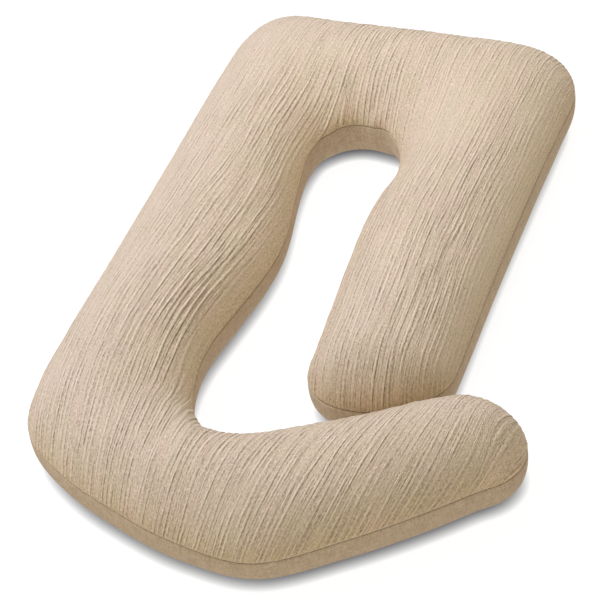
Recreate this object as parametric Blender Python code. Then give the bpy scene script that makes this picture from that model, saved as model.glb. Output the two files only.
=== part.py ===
"""A C-shaped body pillow with a turned-up lower arm, lying flat.

Two ribbed panels are sewn to each other by one seam, which runs round the whole edge at about mid
height, higher or lower as the filling pushes it, and the bag that they make is filled. So the pillow is one closed solid: an upper panel with
a high crown and raised ribs, a drawn-in seam, and a fuller lower panel that lies flat on its base.

Metres, +Z up, +Y along the long leg towards the top bar. The origin is under the middle of the
pillow, on the surface that it lies on.
"""

import math
from typing import NamedTuple

import bmesh
import bpy
from mathutils import Matrix, Vector
from mathutils.bvhtree import BVHTree
from mathutils.geometry import delaunay_2d_cdt

# The roll's cross-section.
UPPER_FULLNESS = 1.8       # exponent of the upper half's round, where 2 is an ellipse
LOWER_FULLNESS = 3.4       # the lower half is squarer, because the weight spreads it
LOWER_SPREAD = 1.05        # how far the lower round would sink, cut off flat at the base
SEAM_DRAW_IN = 0.0025      # how far the thread pulls the seam in
UPPER_LIP = 0.008          # height from the seam to the full width above it
LOWER_LIP = 0.020          # and below it, where the side is steeper


class RoundEnd(NamedTuple):
    """How far a closed end stands out, how it turns from the roll, and how full its round is."""

    length: float
    turn: float
    fullness: float


LEG_END = RoundEnd(length=0.103, turn=math.radians(-8), fullness=2.0)
ARM_END = RoundEnd(length=0.104, turn=math.radians(-13), fullness=1.9)
END_STEPS = 24

# Ribs of the upper panel, straight along Y.
RIB_PITCH = 0.018
RIB_HEIGHT = 0.0030
RIB_START = 0.0045         # the first ridge, from the long leg's outer edge
RIB_SQUEEZE = 0.2          # share of its length to which Y is squeezed while ribs are triangulated

# Mesh steps.
STEPS_PER_SECTION = 6
UPPER_RING_SHARES = (0.95, 0.86)
LOWER_RING_SHARES = (0.975, 0.91, 0.81)
ROUND_SHARES = (0.0, 0.15, 0.3, 0.45, 0.6, 0.72, 0.82, 0.9, 0.95, 0.98, 0.995, 1.0)
PLAIN_STEP = 0.025         # between points of an edge that no rib line crosses
MERGE_STEP = 0.003
BAR_ROW = 0.028            # between points of a rib where it runs across a bar
LEG_ROW = 0.060            # and where it runs along a leg
LEG_TOP, LEG_BOTTOM = -0.36, -0.94

FABRIC_COLOUR = (0.62, 0.50, 0.39, 1.0)
FABRIC_ROUGHNESS = 0.9


class Section(NamedTuple):
    """One cut across the roll: where and how high its outer and inner seam are, and its top."""

    name: str
    outer_x: float
    outer_y: float
    outer_seam: float
    inner_x: float
    inner_y: float
    inner_seam: float
    top: float


# From the short leg's lower end, up and round the top bar, down the long leg, and along the arm.
# x runs from the long leg's outer edge, y from the top bar's, and heights from the pillow's base.
SECTIONS = (
    Section("short leg, lower end", 0.720, -0.940, 0.086, 0.457, -0.960, 0.073, 0.188),
    Section("short leg, calf", 0.721, -0.820, 0.097, 0.449, -0.840, 0.080, 0.188),
    Section("short leg, knee", 0.720, -0.680, 0.104, 0.440, -0.690, 0.088, 0.188),
    Section("short leg, thigh", 0.720, -0.530, 0.104, 0.435, -0.550, 0.088, 0.188),
    Section("short leg, waist", 0.720, -0.365, 0.102, 0.450, -0.435, 0.088, 0.188),
    Section("short leg, shoulder", 0.721, -0.220, 0.093, 0.431, -0.358, 0.093, 0.188),
    Section("right corner, side", 0.716, -0.090, 0.088, 0.390, -0.309, 0.099, 0.188),
    Section("right corner, top", 0.645, -0.006, 0.088, 0.356, -0.303, 0.098, 0.188),
    Section("top bar, right", 0.475, 0.000, 0.088, 0.340, -0.298, 0.095, 0.188),
    Section("top bar, middle", 0.350, 0.000, 0.088, 0.315, -0.301, 0.095, 0.188),
    Section("top bar, left", 0.210, 0.000, 0.088, 0.295, -0.317, 0.096, 0.188),
    Section("left corner, top", 0.069, -0.001, 0.089, 0.282, -0.341, 0.097, 0.188),
    Section("left corner, side", 0.010, -0.080, 0.088, 0.270, -0.366, 0.100, 0.188),
    Section("long leg, shoulder", 0.000, -0.225, 0.088, 0.264, -0.425, 0.098, 0.188),
    Section("long leg, waist", 0.000, -0.390, 0.088, 0.271, -0.500, 0.087, 0.188),
    Section("long leg, hip", 0.000, -0.570, 0.088, 0.295, -0.640, 0.078, 0.188),
    Section("long leg, thigh", 0.000, -0.740, 0.088, 0.295, -0.745, 0.080, 0.188),
    Section("long leg, knee", 0.000, -0.895, 0.088, 0.280, -0.855, 0.084, 0.188),
    Section("long leg, calf", 0.000, -1.025, 0.088, 0.265, -0.955, 0.086, 0.188),
    Section("long leg, ankle", 0.003, -1.140, 0.089, 0.269, -1.040, 0.086, 0.183),
    Section("foot corner, side", 0.030, -1.249, 0.088, 0.293, -1.120, 0.085, 0.183),
    Section("foot corner, bottom", 0.125, -1.325, 0.084, 0.338, -1.171, 0.086, 0.183),
    Section("arm, root", 0.245, -1.380, 0.084, 0.380, -1.185, 0.085, 0.183),
    Section("arm, first quarter", 0.371, -1.418, 0.078, 0.436, -1.175, 0.084, 0.183),
    Section("arm, middle", 0.515, -1.425, 0.072, 0.520, -1.119, 0.082, 0.178),
    Section("arm, third quarter", 0.650, -1.340, 0.075, 0.610, -1.070, 0.080, 0.178),
    Section("arm, wrist", 0.761, -1.249, 0.077, 0.686, -1.019, 0.080, 0.173),
    Section("arm, end", 0.838, -1.171, 0.073, 0.730, -1.002, 0.080, 0.173),
)


class Station(NamedTuple):
    """A place on the seam and its height, with the roll's middle line beside it and its top."""

    edge: Vector
    spine: Vector
    seam: float
    top: float

    def at(self, share: float, height: float) -> Vector:
        """The point at a height and a share of the way from the middle line out to the seam."""
        return self.spine.lerp(self.edge, share).to_3d() + Vector((0, 0, height))


def upper_height(station: Station, share: float) -> float:
    """Height of the smooth upper panel."""
    rise = (1 - share ** UPPER_FULLNESS) ** (1 / UPPER_FULLNESS)
    return station.seam + (station.top - station.seam) * rise


def upper_share(station: Station, height: float) -> float:
    """The share of the half width at which the smooth upper panel is at a height."""
    rise = (height - station.seam) / (station.top - station.seam)
    return (1 - rise ** UPPER_FULLNESS) ** (1 / UPPER_FULLNESS)


def lower_height(station: Station, share: float) -> float:
    """Height of the lower panel, which is flat at the base."""
    drop = LOWER_SPREAD * (1 - share ** LOWER_FULLNESS) ** (1 / LOWER_FULLNESS)
    return station.seam * (1 - min(1.0, drop))


def base_share() -> float:
    """The share of the half width at which the lower panel meets the base."""
    return (1 - LOWER_SPREAD ** -LOWER_FULLNESS) ** (1 / LOWER_FULLNESS)


def blend_rows(before, start, end, after, t: float) -> tuple[float, ...]:
    """One row of the Catmull-Rom curve through four rows of numbers, between the middle two."""
    return tuple(
        0.5 * (2 * b + (c - a) * t + (2 * a - 5 * b + 4 * c - d) * t ** 2
               + (3 * b - a - 3 * c + d) * t ** 3)
        for a, b, c, d in zip(before, start, end, after))


def smooth_rows() -> list[tuple[float, ...]]:
    """The sections' numbers with smooth rows between them."""
    rows = [section[1:] for section in SECTIONS]
    first = tuple(2 * a - b for a, b in zip(rows[0], rows[1]))
    last = tuple(2 * a - b for a, b in zip(rows[-1], rows[-2]))
    rows = [first, *rows, last]
    smooth = [blend_rows(*rows[i - 1:i + 3], step / STEPS_PER_SECTION)
              for i in range(1, len(rows) - 2) for step in range(STEPS_PER_SECTION)]
    return [*smooth, rows[-2]]


def round_end(shape: RoundEnd, side: Station, other: Station, before: Vector) -> list[Station]:
    """Stations round a closed end, from one side of the roll across its tip to the other."""
    end = side.spine
    forward = Matrix.Rotation(shape.turn, 2) @ (end - before).normalized()
    reach = side.edge - end
    power = 2 / shape.fullness
    stations = []
    for step in range(1, END_STEPS):
        angle = math.pi * step / END_STEPS
        across = math.copysign(abs(math.cos(angle)) ** power, math.cos(angle))
        along = shape.length * math.sin(angle) ** power
        seam = side.seam + (other.seam - side.seam) * step / END_STEPS
        stations.append(Station(end + reach * across + forward * along, end, seam, side.top))
    return stations


def seam_stations() -> list[Station]:
    """Stations all round the seam: outer side, arm end, inner side, short leg's end."""
    rows = smooth_rows()
    outer = [Vector(row[0:2]) for row in rows]
    inner = [Vector(row[3:5]) for row in rows]
    spine = [a.lerp(b, 0.5) for a, b in zip(outer, inner)]
    outer_side = [Station(edge, middle, row[2], row[6]) for edge, middle, row in zip(outer, spine, rows)]
    inner_side = [Station(edge, middle, row[5], row[6]) for edge, middle, row in zip(inner, spine, rows)]
    arm_end = round_end(ARM_END, outer_side[-1], inner_side[-1], spine[-3])
    leg_end = round_end(LEG_END, inner_side[0], outer_side[0], spine[2])
    return [*outer_side, *arm_end, *reversed(inner_side), *leg_end]


def rib_wave(x: float) -> float:
    """1 on a ridge, -1 in a furrow, and straight between them."""
    turns = (x - RIB_START) / RIB_PITCH
    return 1 - 4 * abs(turns - round(turns))


def rib_lines(start_x: float, end_x: float) -> list[float]:
    """The ridge and furrow lines met on the way from one x to another, in order."""
    half = RIB_PITCH / 2
    low, high = sorted((start_x, end_x))
    first = math.ceil((low - RIB_START) / half)
    last = math.floor((high - RIB_START) / half)
    lines = [RIB_START + half * k for k in range(first, last + 1)]
    return lines if end_x > start_x else lines[::-1]


def lerp_station(a: Station, b: Station, t: float) -> Station:
    """The station a share of the way between two."""
    return Station(a.edge.lerp(b.edge, t), a.spine.lerp(b.spine, t), a.seam + (b.seam - a.seam) * t,
                   a.top + (b.top - a.top) * t)


def resample(stations: list[Station], share: float, ribbed: bool) -> list[Station]:
    """The stations at which a ring is crossed by rib lines, and plain ones where the gaps are long.

    The ring is the curve at one share of the way out from the roll's middle line.
    """
    kept: list[tuple[Station, bool]] = []
    for a, b in zip(stations, stations[1:] + stations[:1]):
        xa, xb = a.at(share, 0).x, b.at(share, 0).x
        crossed = [lerp_station(a, b, (x - xa) / (xb - xa)) for x in rib_lines(xa, xb)] if ribbed else []
        for station in crossed:
            if kept and (kept[-1][0].at(share, 0) - station.at(share, 0)).length < MERGE_STEP:
                if kept[-1][1]:
                    continue
                kept.pop()
            kept.append((station, True))
        if not kept or (kept[-1][0].at(share, 0) - b.at(share, 0)).length > PLAIN_STEP:
            kept.append((b, False))
    if (kept[-1][0].at(share, 0) - kept[0][0].at(share, 0)).length < MERGE_STEP:
        kept.pop()
    return [station for station, _ in kept]


def smooth_tree(stations: list[Station]) -> BVHTree:
    """The upper panel without its ribs, for reading its height and slope."""
    count, shares = len(stations), len(ROUND_SHARES)
    points = [s.at(share, upper_height(s, share)) for s in stations for share in ROUND_SHARES]
    quads = []
    for i in range(count):
        this, after = i * shares, (i + 1) % count * shares
        quads += [(this + k, this + k + 1, after + k + 1, after + k) for k in range(shares - 1)]
    return BVHTree.FromPolygons(points, quads)


def rib_rows(ring: list[Vector]) -> list[Vector]:
    """Flat points along each rib line inside a ring, between the places where it crosses the ring."""
    crossings: dict[int, list[float]] = {}
    for a, b in zip(ring, ring[1:] + ring[:1]):
        for x in rib_lines(a.x, b.x):
            line = round((x - RIB_START) / (RIB_PITCH / 2))
            crossings.setdefault(line, []).append(a.y + (b.y - a.y) * (x - a.x) / (b.x - a.x))
    points = []
    for line, heights in sorted(crossings.items()):
        heights.sort()
        x = RIB_START + line * RIB_PITCH / 2
        for low, high in zip(heights[0::2], heights[1::2]):
            y = low + BAR_ROW
            while y < high - BAR_ROW / 2:
                points.append(Vector((x, y, 0)))
                y += LEG_ROW if LEG_BOTTOM < y < LEG_TOP - LEG_ROW else BAR_ROW
    return points


def triangulate(rings: list[list[Vector]], inside: list[Vector]):
    """Triangles of the flat area within the first ring, through every other ring's edges.

    They are found with Y squeezed, so that they are long along the ribs and each rib stays whole.
    Returns the points, those of the rings first, and the triangles as their indices.
    """
    points, edges = [], []
    for ring in rings:
        start = len(points)
        count = len(ring)
        points += ring
        edges += [(start + i, start + (i + 1) % count) for i in range(count)]
    points += inside
    outline = list(range(len(rings[0])))
    flat, _, faces, origins, _, _ = delaunay_2d_cdt(
        [Vector((p.x, p.y * RIB_SQUEEZE)) for p in points], edges[len(outline):], [outline], 1, 1e-7)
    assert len(flat) == len(points), "the rings of a panel cross each other"
    source = [origin[0] for origin in origins]
    return points, [tuple(source[i] for i in face) for face in faces]


def upper_panel(stations: list[Station], lip: list[Vector]):
    """The ribbed panel's points, its lip first, and its triangles."""
    tree = smooth_tree(stations)
    rings = [lip]
    for share in UPPER_RING_SHARES:
        ring = resample(stations, share, ribbed=True)
        rings.append([s.at(share, upper_height(s, share)) for s in ring])
    rows = []
    for point in rib_rows(rings[-1]):
        hit = tree.ray_cast(point + Vector((0, 0, 1)), Vector((0, 0, -1)))[0]
        rows.append(hit)
    points, faces = triangulate(rings, rows)
    raised = points[:len(lip)]
    for point in points[len(lip):]:
        normal = tree.find_nearest(point)[1]
        normal = normal if normal.z > 0 else -normal
        raised.append(point + normal * (rib_wave(point.x) * RIB_HEIGHT / 2))
    return raised, faces


def lower_panel(stations: list[Station], lip: list[Vector]):
    """The plain panel's points, its lip first, and its triangles."""
    rings = [lip]
    for share in (*LOWER_RING_SHARES, base_share()):
        ring = resample(stations, share, ribbed=False)
        rings.append([s.at(share, lower_height(s, share)) for s in ring])
    return triangulate(rings, [])


def pillow_mesh() -> bpy.types.Mesh:
    """The whole pillow: both panels and the drawn-in seam between their lips."""
    stations = seam_stations()
    sewn = resample(stations, 1.0, ribbed=True)
    upper_lip = [s.at(upper_share(s, s.seam + UPPER_LIP), s.seam + UPPER_LIP) for s in sewn]
    lower_lip = [s.at(1.0, s.seam - LOWER_LIP) for s in sewn]
    seam = [s.at(1.0 - SEAM_DRAW_IN / (s.edge - s.spine).length, s.seam) for s in sewn]

    mesh = bmesh.new()
    upper_points, upper_faces = upper_panel(stations, upper_lip)
    lower_points, lower_faces = lower_panel(stations, lower_lip)
    upper = [mesh.verts.new(p) for p in upper_points]
    lower = [mesh.verts.new(p) for p in lower_points]
    stitch_line = [mesh.verts.new(p) for p in seam]
    for face in upper_faces:
        mesh.faces.new([upper[i] for i in face])
    for face in lower_faces:
        mesh.faces.new([lower[i] for i in reversed(face)])
    count = len(sewn)
    for i in range(count):
        after = (i + 1) % count
        mesh.faces.new((stitch_line[i], stitch_line[after], upper[after], upper[i]))
        mesh.faces.new((lower[i], lower[after], stitch_line[after], stitch_line[i]))
    bmesh.ops.triangulate(mesh, faces=mesh.faces[:])
    bmesh.ops.recalc_face_normals(mesh, faces=mesh.faces[:])
    centre_on_base(mesh)

    data = bpy.data.meshes.new("body_pillow")
    mesh.to_mesh(data)
    mesh.free()
    return data


def centre_on_base(mesh: bmesh.types.BMesh) -> None:
    """Move the pillow so that the middle of its box's base is at the origin."""
    low = Vector([min(v.co[axis] for v in mesh.verts) for axis in range(3)])
    high = Vector([max(v.co[axis] for v in mesh.verts) for axis in range(3)])
    shift = Vector((-(low.x + high.x) / 2, -(low.y + high.y) / 2, 0))
    bmesh.ops.translate(mesh, verts=mesh.verts[:], vec=shift)


def fabric() -> bpy.types.Material:
    """Oatmeal ribbed cloth."""
    material = bpy.data.materials.new("oatmeal_rib_cloth")
    material.use_nodes = True
    shader = material.node_tree.nodes["Principled BSDF"]
    shader.inputs["Base Color"].default_value = FABRIC_COLOUR
    shader.inputs["Roughness"].default_value = FABRIC_ROUGHNESS
    shader.inputs["Metallic"].default_value = 0.0
    return material


def main() -> None:
    """Clear the start objects and build the pillow in its own collection."""
    for thing in list(bpy.data.objects):
        bpy.data.objects.remove(thing)
    collection = bpy.data.collections.new("body_pillow")
    bpy.context.scene.collection.children.link(collection)
    pillow = bpy.data.objects.new("body_pillow", pillow_mesh())
    pillow.data.materials.append(fabric())
    collection.objects.link(pillow)


if __name__ == "__main__":
    main()
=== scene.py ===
"""Looks of a C-shaped body pillow with a turned-up lower arm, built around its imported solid.

The pillow's cover is drawn from a table of cuts across its roll, swelled by a cloth simulation with
air pressure inside, refined, and ribbed by Geometry Nodes. A line of stitches lies in its seam.

Metres, +Z up, +Y along the long leg towards the top bar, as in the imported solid.
"""

import logging
import math
from dataclasses import dataclass
from enum import Enum
from typing import NamedTuple

import bpy
import numpy as np
from mathutils import Matrix, Vector


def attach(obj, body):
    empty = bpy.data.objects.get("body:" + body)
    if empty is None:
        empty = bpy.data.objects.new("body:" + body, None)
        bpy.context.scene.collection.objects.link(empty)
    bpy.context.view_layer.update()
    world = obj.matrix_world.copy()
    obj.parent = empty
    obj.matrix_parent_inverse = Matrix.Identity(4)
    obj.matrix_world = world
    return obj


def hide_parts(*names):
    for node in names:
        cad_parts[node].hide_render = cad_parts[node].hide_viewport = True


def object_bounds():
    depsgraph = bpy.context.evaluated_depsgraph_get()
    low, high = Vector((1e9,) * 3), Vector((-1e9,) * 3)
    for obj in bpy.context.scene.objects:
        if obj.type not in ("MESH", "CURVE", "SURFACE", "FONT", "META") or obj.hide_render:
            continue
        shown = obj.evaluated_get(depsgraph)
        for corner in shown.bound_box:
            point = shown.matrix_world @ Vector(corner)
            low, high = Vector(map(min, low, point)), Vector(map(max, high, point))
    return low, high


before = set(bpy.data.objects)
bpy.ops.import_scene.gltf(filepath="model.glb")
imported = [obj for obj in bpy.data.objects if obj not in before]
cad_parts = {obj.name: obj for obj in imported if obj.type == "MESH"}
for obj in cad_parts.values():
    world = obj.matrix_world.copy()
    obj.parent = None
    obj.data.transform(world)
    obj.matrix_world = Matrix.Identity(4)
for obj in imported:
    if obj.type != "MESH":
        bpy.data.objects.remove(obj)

CAD_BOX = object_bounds()
NODE = "body_pillow"
BODY = "root"

Colour = tuple[float, float, float]

log = logging.getLogger("body_pillow")


# ---------------------------------------------------------------------------------------------
# Node trees


class Graph:
    """Makes the nodes of one shader or geometry node tree."""

    def __init__(self, tree: bpy.types.NodeTree) -> None:
        """Start on an empty tree.

        Args:
            tree: The tree to fill. Its nodes are removed first.
        """
        self.tree = tree
        tree.nodes.clear()

    def node(self, kind: str, settings: dict | None = None,
             inputs: dict | None = None) -> bpy.types.Node:
        """Add one node.

        Args:
            kind: The node's type name.
            settings: Its properties, set first.
            inputs: Plain values, Values or sockets for its input sockets, by name or by number.

        Returns:
            The new node.
        """
        made = self.tree.nodes.new(kind)
        for name, value in (settings or {}).items():
            setattr(made, name, value)
        for key, value in (inputs or {}).items():
            socket = made.inputs[key] if isinstance(key, int) else find_socket(made.inputs, key)
            if isinstance(value, Value):
                value = value.socket
            if isinstance(value, bpy.types.NodeSocket):
                self.tree.links.new(value, socket)
            else:
                socket.default_value = value
        return made

    def value(self, kind: str, settings: dict | None = None, inputs: dict | None = None,
              output: str | int = 0) -> "Value":
        """Add one node and take one of its outputs.

        Args:
            kind: The node's type name.
            settings: Its properties.
            inputs: Its input sockets' values or links.
            output: The output's name or number.

        Returns:
            The output as a value to calculate with.
        """
        made = self.node(kind, settings, inputs)
        if isinstance(output, str):
            return Value(self, find_socket(made.outputs, output))
        return Value(self, made.outputs[output])

    def vector(self, x: "Value | float", y: "Value | float", z: "Value | float") -> "Value":
        """A vector of three numbers."""
        return self.value("ShaderNodeCombineXYZ", {}, {0: x, 1: y, 2: z})

    def parts(self, vector: "Value") -> tuple["Value", "Value", "Value"]:
        """The three numbers of a vector."""
        split = self.node("ShaderNodeSeparateXYZ", {}, {0: vector})
        return tuple(Value(self, socket) for socket in split.outputs)

    def noise(self, place: "Value", detail: float = 0.0, roughness: float = 0.5) -> "Value":
        """Smooth noise from 0 to 1, about 0.5, whose lumps are about one unit of place in size."""
        settings = {"noise_dimensions": "3D", "normalize": True}
        inputs = {"Vector": place, "Scale": 1.0, "Detail": detail, "Roughness": roughness}
        return self.value("ShaderNodeTexNoise", settings, inputs)

    def colour_mix(self, share: "Value | float", first: "Value | Colour", second: "Value | Colour",
                   blend: str = "MIX") -> "Value":
        """Two colours mixed, or blended, by a share."""
        def full(colour: "Value | Colour") -> "Value | tuple[float, float, float, float]":
            return colour if isinstance(colour, Value) else (*colour, 1.0)

        settings = {"data_type": "RGBA", "blend_type": blend}
        inputs = {"Factor": share, "A": full(first), "B": full(second)}
        return self.value("ShaderNodeMix", settings, inputs, "Result")

    def tinted(self, colour: "Value", tint: "Value | Colour") -> "Value":
        """A colour times a tint."""
        return self.colour_mix(1.0, colour, tint, "MULTIPLY")

    def bump(self, height: "Value", distance: float = 0.001, strength: float = 1.0) -> "Value":
        """A normal bent by a height, which counts in steps of the distance."""
        return self.value("ShaderNodeBump", {},
                          {"Strength": strength, "Distance": distance, "Height": height})

    def surface(self, inputs: dict) -> None:
        """End a material with one Principled BSDF of these inputs."""
        shader = self.node("ShaderNodeBsdfPrincipled", {}, inputs)
        self.node("ShaderNodeOutputMaterial", {}, {"Surface": shader.outputs[0]})


def find_socket(sockets: bpy.types.bpy_prop_collection, name: str) -> bpy.types.NodeSocket:
    """The first socket of that name that is in use."""
    return next(socket for socket in sockets if socket.name == name and socket.enabled)


@dataclass(frozen=True)
class Value:
    """One socket's number, with the operators of Python as Math nodes."""

    graph: Graph
    socket: bpy.types.NodeSocket

    def _math(self, operation: str, *terms: "Value | float") -> "Value":
        """One Math node of these terms."""
        return self.graph.value("ShaderNodeMath", {"operation": operation}, dict(enumerate(terms)))

    def __add__(self, other: "Value | float") -> "Value":
        """self + other."""
        return self._math("ADD", self, other)

    __radd__ = __add__

    def __sub__(self, other: "Value | float") -> "Value":
        """self - other."""
        return self._math("SUBTRACT", self, other)

    def __rsub__(self, other: float) -> "Value":
        """other - self."""
        return self._math("SUBTRACT", other, self)

    def __mul__(self, other: "Value | float") -> "Value":
        """self * other."""
        return self._math("MULTIPLY", self, other)

    __rmul__ = __mul__

    def __truediv__(self, other: "Value | float") -> "Value":
        """self / other."""
        return self._math("DIVIDE", self, other)

    def __pow__(self, power: float) -> "Value":
        """self to a power."""
        return self._math("POWER", self, power)

    def absolute(self) -> "Value":
        """Without its sign."""
        return self._math("ABSOLUTE", self)

    def rounded(self) -> "Value":
        """The nearest whole number."""
        return self._math("ROUND", self)

    def at_least(self, other: "Value | float") -> "Value":
        """The larger of the two."""
        return self._math("MAXIMUM", self, other)

    def step(self, low: float, high: float) -> "Value":
        """0 below low, 1 above high, and smooth between them."""
        settings = {"interpolation_type": "SMOOTHSTEP"}
        inputs = {"Value": self, "From Min": low, "From Max": high, "To Min": 0.0, "To Max": 1.0}
        return self.graph.value("ShaderNodeMapRange", settings, inputs)


# ---------------------------------------------------------------------------------------------
# The pillow's form


class Section(NamedTuple):
    """One cut across the roll: its seam on the outer and inner side, its top and its ribs' turn."""

    name: str
    outer_x: float
    outer_y: float
    outer_seam: float
    inner_x: float
    inner_y: float
    inner_seam: float
    top: float
    rib_turn: float


# From the short leg's lower end, up and round the top bar, down the long leg, and along the arm.
# x runs from the long leg's outer edge, y from the top bar's, and heights from the pillow's base.
# The last number is how many degrees the ribs turn there from +Y towards +X.
SECTIONS = (
    Section("short leg, lower end", 0.720, -0.940, 0.086, 0.457, -0.960, 0.073, 0.188, 0),
    Section("short leg, calf", 0.721, -0.820, 0.097, 0.449, -0.840, 0.080, 0.188, -4),
    Section("short leg, knee", 0.720, -0.680, 0.104, 0.440, -0.690, 0.088, 0.188, -1),
    Section("short leg, thigh", 0.720, -0.530, 0.104, 0.435, -0.550, 0.088, 0.188, 2),
    Section("short leg, waist", 0.720, -0.365, 0.102, 0.450, -0.435, 0.088, 0.188, 2),
    Section("short leg, shoulder", 0.721, -0.220, 0.093, 0.431, -0.358, 0.093, 0.188, 1),
    Section("right corner, side", 0.716, -0.090, 0.088, 0.390, -0.309, 0.099, 0.188, 1),
    Section("right corner, top", 0.645, -0.006, 0.088, 0.356, -0.303, 0.098, 0.188, 0),
    Section("top bar, right", 0.475, 0.000, 0.088, 0.340, -0.298, 0.095, 0.188, 0),
    Section("top bar, middle", 0.350, 0.000, 0.088, 0.315, -0.301, 0.095, 0.188, 1),
    Section("top bar, left", 0.210, 0.000, 0.088, 0.295, -0.317, 0.096, 0.188, 2),
    Section("left corner, top", 0.069, -0.001, 0.089, 0.282, -0.341, 0.097, 0.188, 2),
    Section("left corner, side", 0.010, -0.080, 0.088, 0.270, -0.366, 0.100, 0.188, 2),
    Section("long leg, shoulder", 0.000, -0.225, 0.088, 0.264, -0.425, 0.098, 0.188, 1),
    Section("long leg, waist", 0.000, -0.390, 0.088, 0.271, -0.500, 0.087, 0.188, 2),
    Section("long leg, hip", 0.000, -0.570, 0.088, 0.295, -0.640, 0.078, 0.188, 4),
    Section("long leg, thigh", 0.000, -0.740, 0.088, 0.295, -0.745, 0.080, 0.188, 5),
    Section("long leg, knee", 0.000, -0.895, 0.088, 0.280, -0.855, 0.084, 0.188, 4),
    Section("long leg, calf", 0.000, -1.025, 0.088, 0.265, -0.955, 0.086, 0.188, 2),
    Section("long leg, ankle", 0.003, -1.140, 0.089, 0.269, -1.040, 0.086, 0.183, -4),
    Section("foot corner, side", 0.030, -1.249, 0.088, 0.293, -1.120, 0.085, 0.183, -8),
    Section("foot corner, bottom", 0.125, -1.325, 0.084, 0.338, -1.171, 0.086, 0.183, -7),
    Section("arm, root", 0.245, -1.380, 0.084, 0.380, -1.185, 0.085, 0.183, -2),
    Section("arm, first quarter", 0.371, -1.418, 0.078, 0.436, -1.175, 0.084, 0.183, 4),
    Section("arm, middle", 0.515, -1.425, 0.072, 0.520, -1.119, 0.082, 0.178, 9),
    Section("arm, third quarter", 0.650, -1.340, 0.075, 0.610, -1.070, 0.080, 0.178, 11),
    Section("arm, wrist", 0.761, -1.249, 0.077, 0.686, -1.019, 0.080, 0.173, 10),
    Section("arm, end", 0.838, -1.171, 0.073, 0.730, -1.002, 0.080, 0.173, 6),
)


def section_rows() -> np.ndarray:
    """The sections' numbers, a row for each."""
    return np.array([section[1:] for section in SECTIONS])


class RoundEnd(NamedTuple):
    """How far a closed end stands out, how it turns from the roll, and how full its round is."""

    length: float
    turn: float
    fullness: float


class Layer(Enum):
    """The two panels that are sewn together."""

    UPPER = "upper"
    LOWER = "lower"


def smooth_step(value: np.ndarray | float, low: float, high: float) -> np.ndarray | float:
    """0 below low, 1 above high, and smooth between them."""
    t = np.clip((value - low) / (high - low), 0, 1)
    return t * t * (3 - 2 * t)


def lengths(rows: np.ndarray) -> np.ndarray:
    """The length of each row of an array."""
    return np.linalg.norm(rows, axis=1)


def curve_through(rows: np.ndarray, places: np.ndarray) -> np.ndarray:
    """Points of the Catmull-Rom curve through rows of numbers.

    Args:
        rows: The rows that the curve passes through.
        places: Where to read the curve, counted in rows.

    Returns:
        One row for each place.
    """
    rows = np.vstack([2 * rows[0] - rows[1], rows, 2 * rows[-1] - rows[-2]])
    first = np.minimum(places.astype(int), len(rows) - 4)
    t = (places - first)[:, None]
    a, b, c, d = (rows[first + k] for k in range(4))
    return 0.5 * (2 * b + (c - a) * t + (2 * a - 5 * b + 4 * c - d) * t ** 2
                  + (3 * b - a - 3 * c + d) * t ** 3)


class Patch(NamedTuple):
    """A round area where the ribs stand out more or less than usual, in the sections' x and y."""

    name: str
    x: float
    y: float
    half_x: float
    half_y: float
    gain: float


PATCHES = (
    Patch("top left corner, calm", 0.090, -0.130, 0.140, 0.160, -0.45),
    Patch("long leg, outer side, calm", 0.020, -0.600, 0.050, 0.450, -0.35),
    Patch("long leg, beside the slot", 0.215, -0.920, 0.045, 0.170, 0.70),
    Patch("short leg, outer side", 0.640, -0.700, 0.070, 0.280, 0.40),
    Patch("short leg, beside its outer seam, calm", 0.715, -0.620, 0.040, 0.450, -0.80),
    Patch("short leg, near the slot's top, calm", 0.500, -0.330, 0.090, 0.130, -0.40),
    Patch("top right corner, calm", 0.600, -0.190, 0.120, 0.170, -0.30),
    Patch("arm, tip, calm", 0.860, -1.100, 0.090, 0.090, -0.30),
)


@dataclass
class Stations:
    """Places all round the seam, with the roll's middle line beside each."""

    edge: np.ndarray
    spine: np.ndarray
    seam: np.ndarray
    top: np.ndarray
    row: np.ndarray
    side_on: np.ndarray
    half: np.ndarray
    drift: np.ndarray
    turn: np.ndarray
    lean: np.ndarray
    inner_pull: np.ndarray
    calm: np.ndarray


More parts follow.
